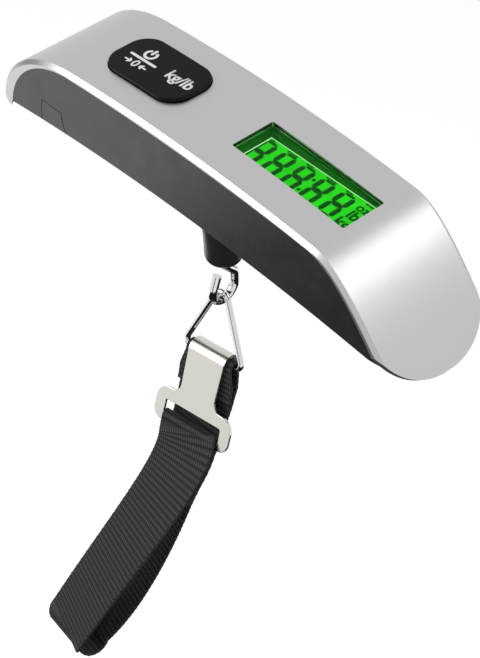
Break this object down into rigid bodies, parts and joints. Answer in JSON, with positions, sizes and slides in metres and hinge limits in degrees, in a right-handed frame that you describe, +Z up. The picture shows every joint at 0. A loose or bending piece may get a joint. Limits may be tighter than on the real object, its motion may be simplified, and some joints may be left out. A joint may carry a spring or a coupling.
{
  "type": "digital luggage scale",
  "caption": "Hand-held digital luggage scale with a lit display and a rocker key, a swivel hook, a triangle ring, a hook plate and a webbing loop.",
  "frame": {"origin": "on the swivel axis of the hook, half a millimetre below the ends of the underside of the case", "axes": "+X along the body towards the display end, +Z up through the crown, away from the hook"},
  "size_m": [0.1538, 0.0796, 0.1737],
  "materials": {
    "silver_shell": "satin",
    "black_case": "matte",
    "black_key": "gloss",
    "clear_window": "gloss",
    "display_green": "gloss",
    "light_guide": "matte",
    "strip_rubber": "matte",
    "cradle_plastic": "matte",
    "cell_steel": "brushed",
    "spring_steel": "satin",
    "switch_plastic": "matte",
    "board_green": "satin",
    "chip_black": "matte",
    "beam_aluminium": "milled",
    "gauge_foil": "satin",
    "wire_jacket": "satin",
    "bush_plastic": "matte",
    "screw_steel": "satin",
    "hook_chrome": "polished",
    "plate_nickel": "satin",
    "webbing_black": "woven",
    "thread_black": "matte"
  },
  "bodies": {
    "housing": {"top_cover": "silver_shell", "lower_case": "black_case", "coin_cell": "cell_steel", "cell_cradle": "cradle_plastic", "centre_contact": "spring_steel", "side_contact": "spring_steel", "key_switches": "switch_plastic", "circuit_board": "board_green", "controller_chip": "chip_black", "amplifier_chip": "chip_black", "passives": "chip_black", "display_window": "clear_window", "lcd_glass": "display_green", "backlight": "light_guide", "contact_strips": "strip_rubber", "display_frame": "cradle_plastic", "load_cell": "beam_aluminium", "strain_gauges": "gauge_foil", "gauge_wires": "wire_jacket", "neck_bush": "bush_plastic", "swivel_washer": "screw_steel", "case_screws": "screw_steel", "board_screws": "screw_steel", "beam_screws": "screw_steel"},
    "key": {"key_cap": "black_key"},
    "door": {"battery_door": "black_case"},
    "hook": {"j_hook": "hook_chrome", "swivel_nut": "screw_steel"},
    "ring": {"triangle_ring": "hook_chrome"},
    "strap": {"hook_plate": "plate_nickel", "webbing": "webbing_black", "stitching": "thread_black"}
  },
  "joints": [
    {"name": "key_rock", "type": "hinge", "parent": "housing", "child": "key", "pos_m": [-0.0246, 0, 0.0218], "axis": [0, 1, 0], "range_deg": [-1.4, 1.4], "stiffness_Nm_per_rad": 0.3},
    {"name": "battery_door_hinge", "type": "hinge", "parent": "housing", "child": "door", "pos_m": [-0.0306, 0, 0.00421], "axis": [0, 1, 0], "range_deg": [-60, 0]},
    {"name": "hook_swivel", "type": "hinge", "parent": "housing", "child": "hook", "pos_m": [0, 0, 0], "axis": [0, 0, 1], "continuous": true},
    {"name": "ring_swing", "type": "hinge", "parent": "hook", "child": "ring", "pos_m": [0, 0, -0.0342], "axis": [0.9956, 0.0941, 0], "range_deg": [-20, 50]},
    {"name": "strap_swing", "type": "hinge", "parent": "ring", "child": "strap", "pos_m": [0.00163, -0.00574, -0.0561], "axis": [0.9924, 0.1092, 0.0573], "range_deg": [-53, 67]}
  ]
}
